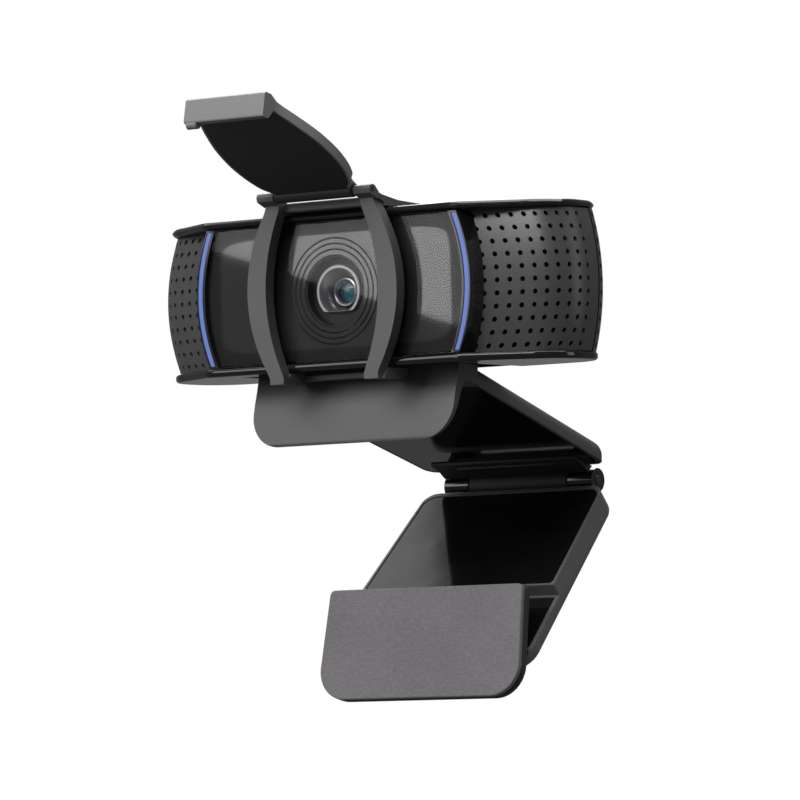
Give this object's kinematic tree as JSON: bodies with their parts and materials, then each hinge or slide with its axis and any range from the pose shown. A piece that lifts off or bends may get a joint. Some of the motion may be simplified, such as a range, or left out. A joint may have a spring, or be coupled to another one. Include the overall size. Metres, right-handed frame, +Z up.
{
  "type": "webcam",
  "caption": "Wide webcam on a folding monitor clip, with perforated ends, lit arcs beside a dark window, a flip-up privacy shutter and a hinged foot.",
  "frame": {"origin": "middle of the top arm's underside, where the clip rests on a monitor's upper edge", "axes": "+Z up, the lens looks towards -Y and 2.7 degrees down, +X to the right as seen from the front; the clip's arms fall away to the back"},
  "size_m": [0.0938, 0.0986, 0.1067],
  "materials": {
    "shell": "fine-grained moulded ABS, matte dark grey",
    "gloss": "piano-black gloss plastic",
    "grille": "satin dark grey perforated plastic",
    "window": "smoked, polished acrylic",
    "backing": "printed satin black plate",
    "guide": "tinted clear plastic, softly glowing blue",
    "rubber": "grey rubber with a fine brushed grain",
    "soft_black": "matt black plastic",
    "shutter": "matte grey moulded plastic",
    "flap": "matte dark grey moulded plastic",
    "steel": "bright turned steel",
    "brass": "turned brass",
    "aluminium": "rolled sheet",
    "copper": "enamelled copper winding, stated as brass because the list has no copper",
    "glass": "coated optical glass",
    "board": "green solder mask",
    "chip": "black epoxy moulding",
    "connector": "ivory nylon"
  },
  "bodies": {
    "clip": {"top_arm": "shell", "top_arm_liner": "gloss", "left_top_screw": "steel", "right_top_screw": "steel", "front_lip": "shell", "lip_pad": "rubber", "tilt_tongue": "shell", "tilt_pin": "steel", "left_tilt_washer": "steel", "right_tilt_washer": "steel", "upper_hinge_knuckle": "gloss", "rear_hinge_pin": "steel"},
    "head": {"rear_housing": "gloss", "left_grille": "grille", "right_grille": "grille", "left_light_guide": "guide", "right_light_guide": "guide", "left_light_board": "board", "right_light_board": "board", "left_microphone": "steel", "right_microphone": "steel", "left_microphone_boot": "soft_black", "right_microphone_boot": "soft_black", "window": "window", "window_backing": "backing", "window_bezel": "gloss", "lens_well": "soft_black", "lens_holder": "chip", "focus_yoke": "steel", "ir_filter": "glass", "image_sensor": "chip", "sensor_board": "board", "main_board": "board", "main_chip": "chip", "flash_chip": "chip", "audio_chip": "chip", "crystal": "chip", "heat_spreader": "aluminium", "cable_header": "connector", "cable_gland": "soft_black", "left_housing_screw": "steel", "right_housing_screw": "steel", "shutter_frame": "shutter", "shutter_pin": "steel"},
    "lens_cell": {"lens_barrel": "chip", "focus_coil": "copper", "front_lens": "glass", "rear_lens": "glass"},
    "flap": {"shutter_flap": "flap"},
    "lower_arm": {"lower_arm": "shell", "lower_arm_panel": "gloss", "foot_bay_panel": "gloss", "tripod_insert": "brass", "left_lower_screw": "steel", "right_lower_screw": "steel", "left_hinge_knuckle": "gloss", "right_hinge_knuckle": "gloss", "foot_hinge_pin": "steel"},
    "foot": {"foot_carrier": "soft_black", "foot_pad": "rubber"}
  },
  "joints": [
    {"name": "head_tilt", "type": "hinge", "parent": "clip", "child": "head", "pos_m": [0, -0.0235, 0.01411], "axis": [1, 0, 0], "range_deg": [-12, 6]},
    {"name": "clip_hinge", "type": "hinge", "parent": "clip", "child": "lower_arm", "pos_m": [0, 0.028, -0.00919], "axis": [1, 0, 0], "range_deg": [-42, 75]},
    {"name": "foot_hinge", "type": "hinge", "parent": "lower_arm", "child": "foot", "pos_m": [0, -0.0023, -0.04399], "axis": [1, 0, 0], "range_deg": [-35, 10]},
    {"name": "shutter_flip", "type": "hinge", "parent": "head", "child": "flap", "pos_m": [0, -0.03993, 0.04], "axis": [1, 0, 0], "range_deg": [0, 118]},
    {"name": "lens_focus", "type": "slide", "parent": "head", "child": "lens_cell", "axis": [0, -0.9989, -0.0471], "range_m": [0, 0.0003], "stiffness_N_per_m": 60}
  ]
}
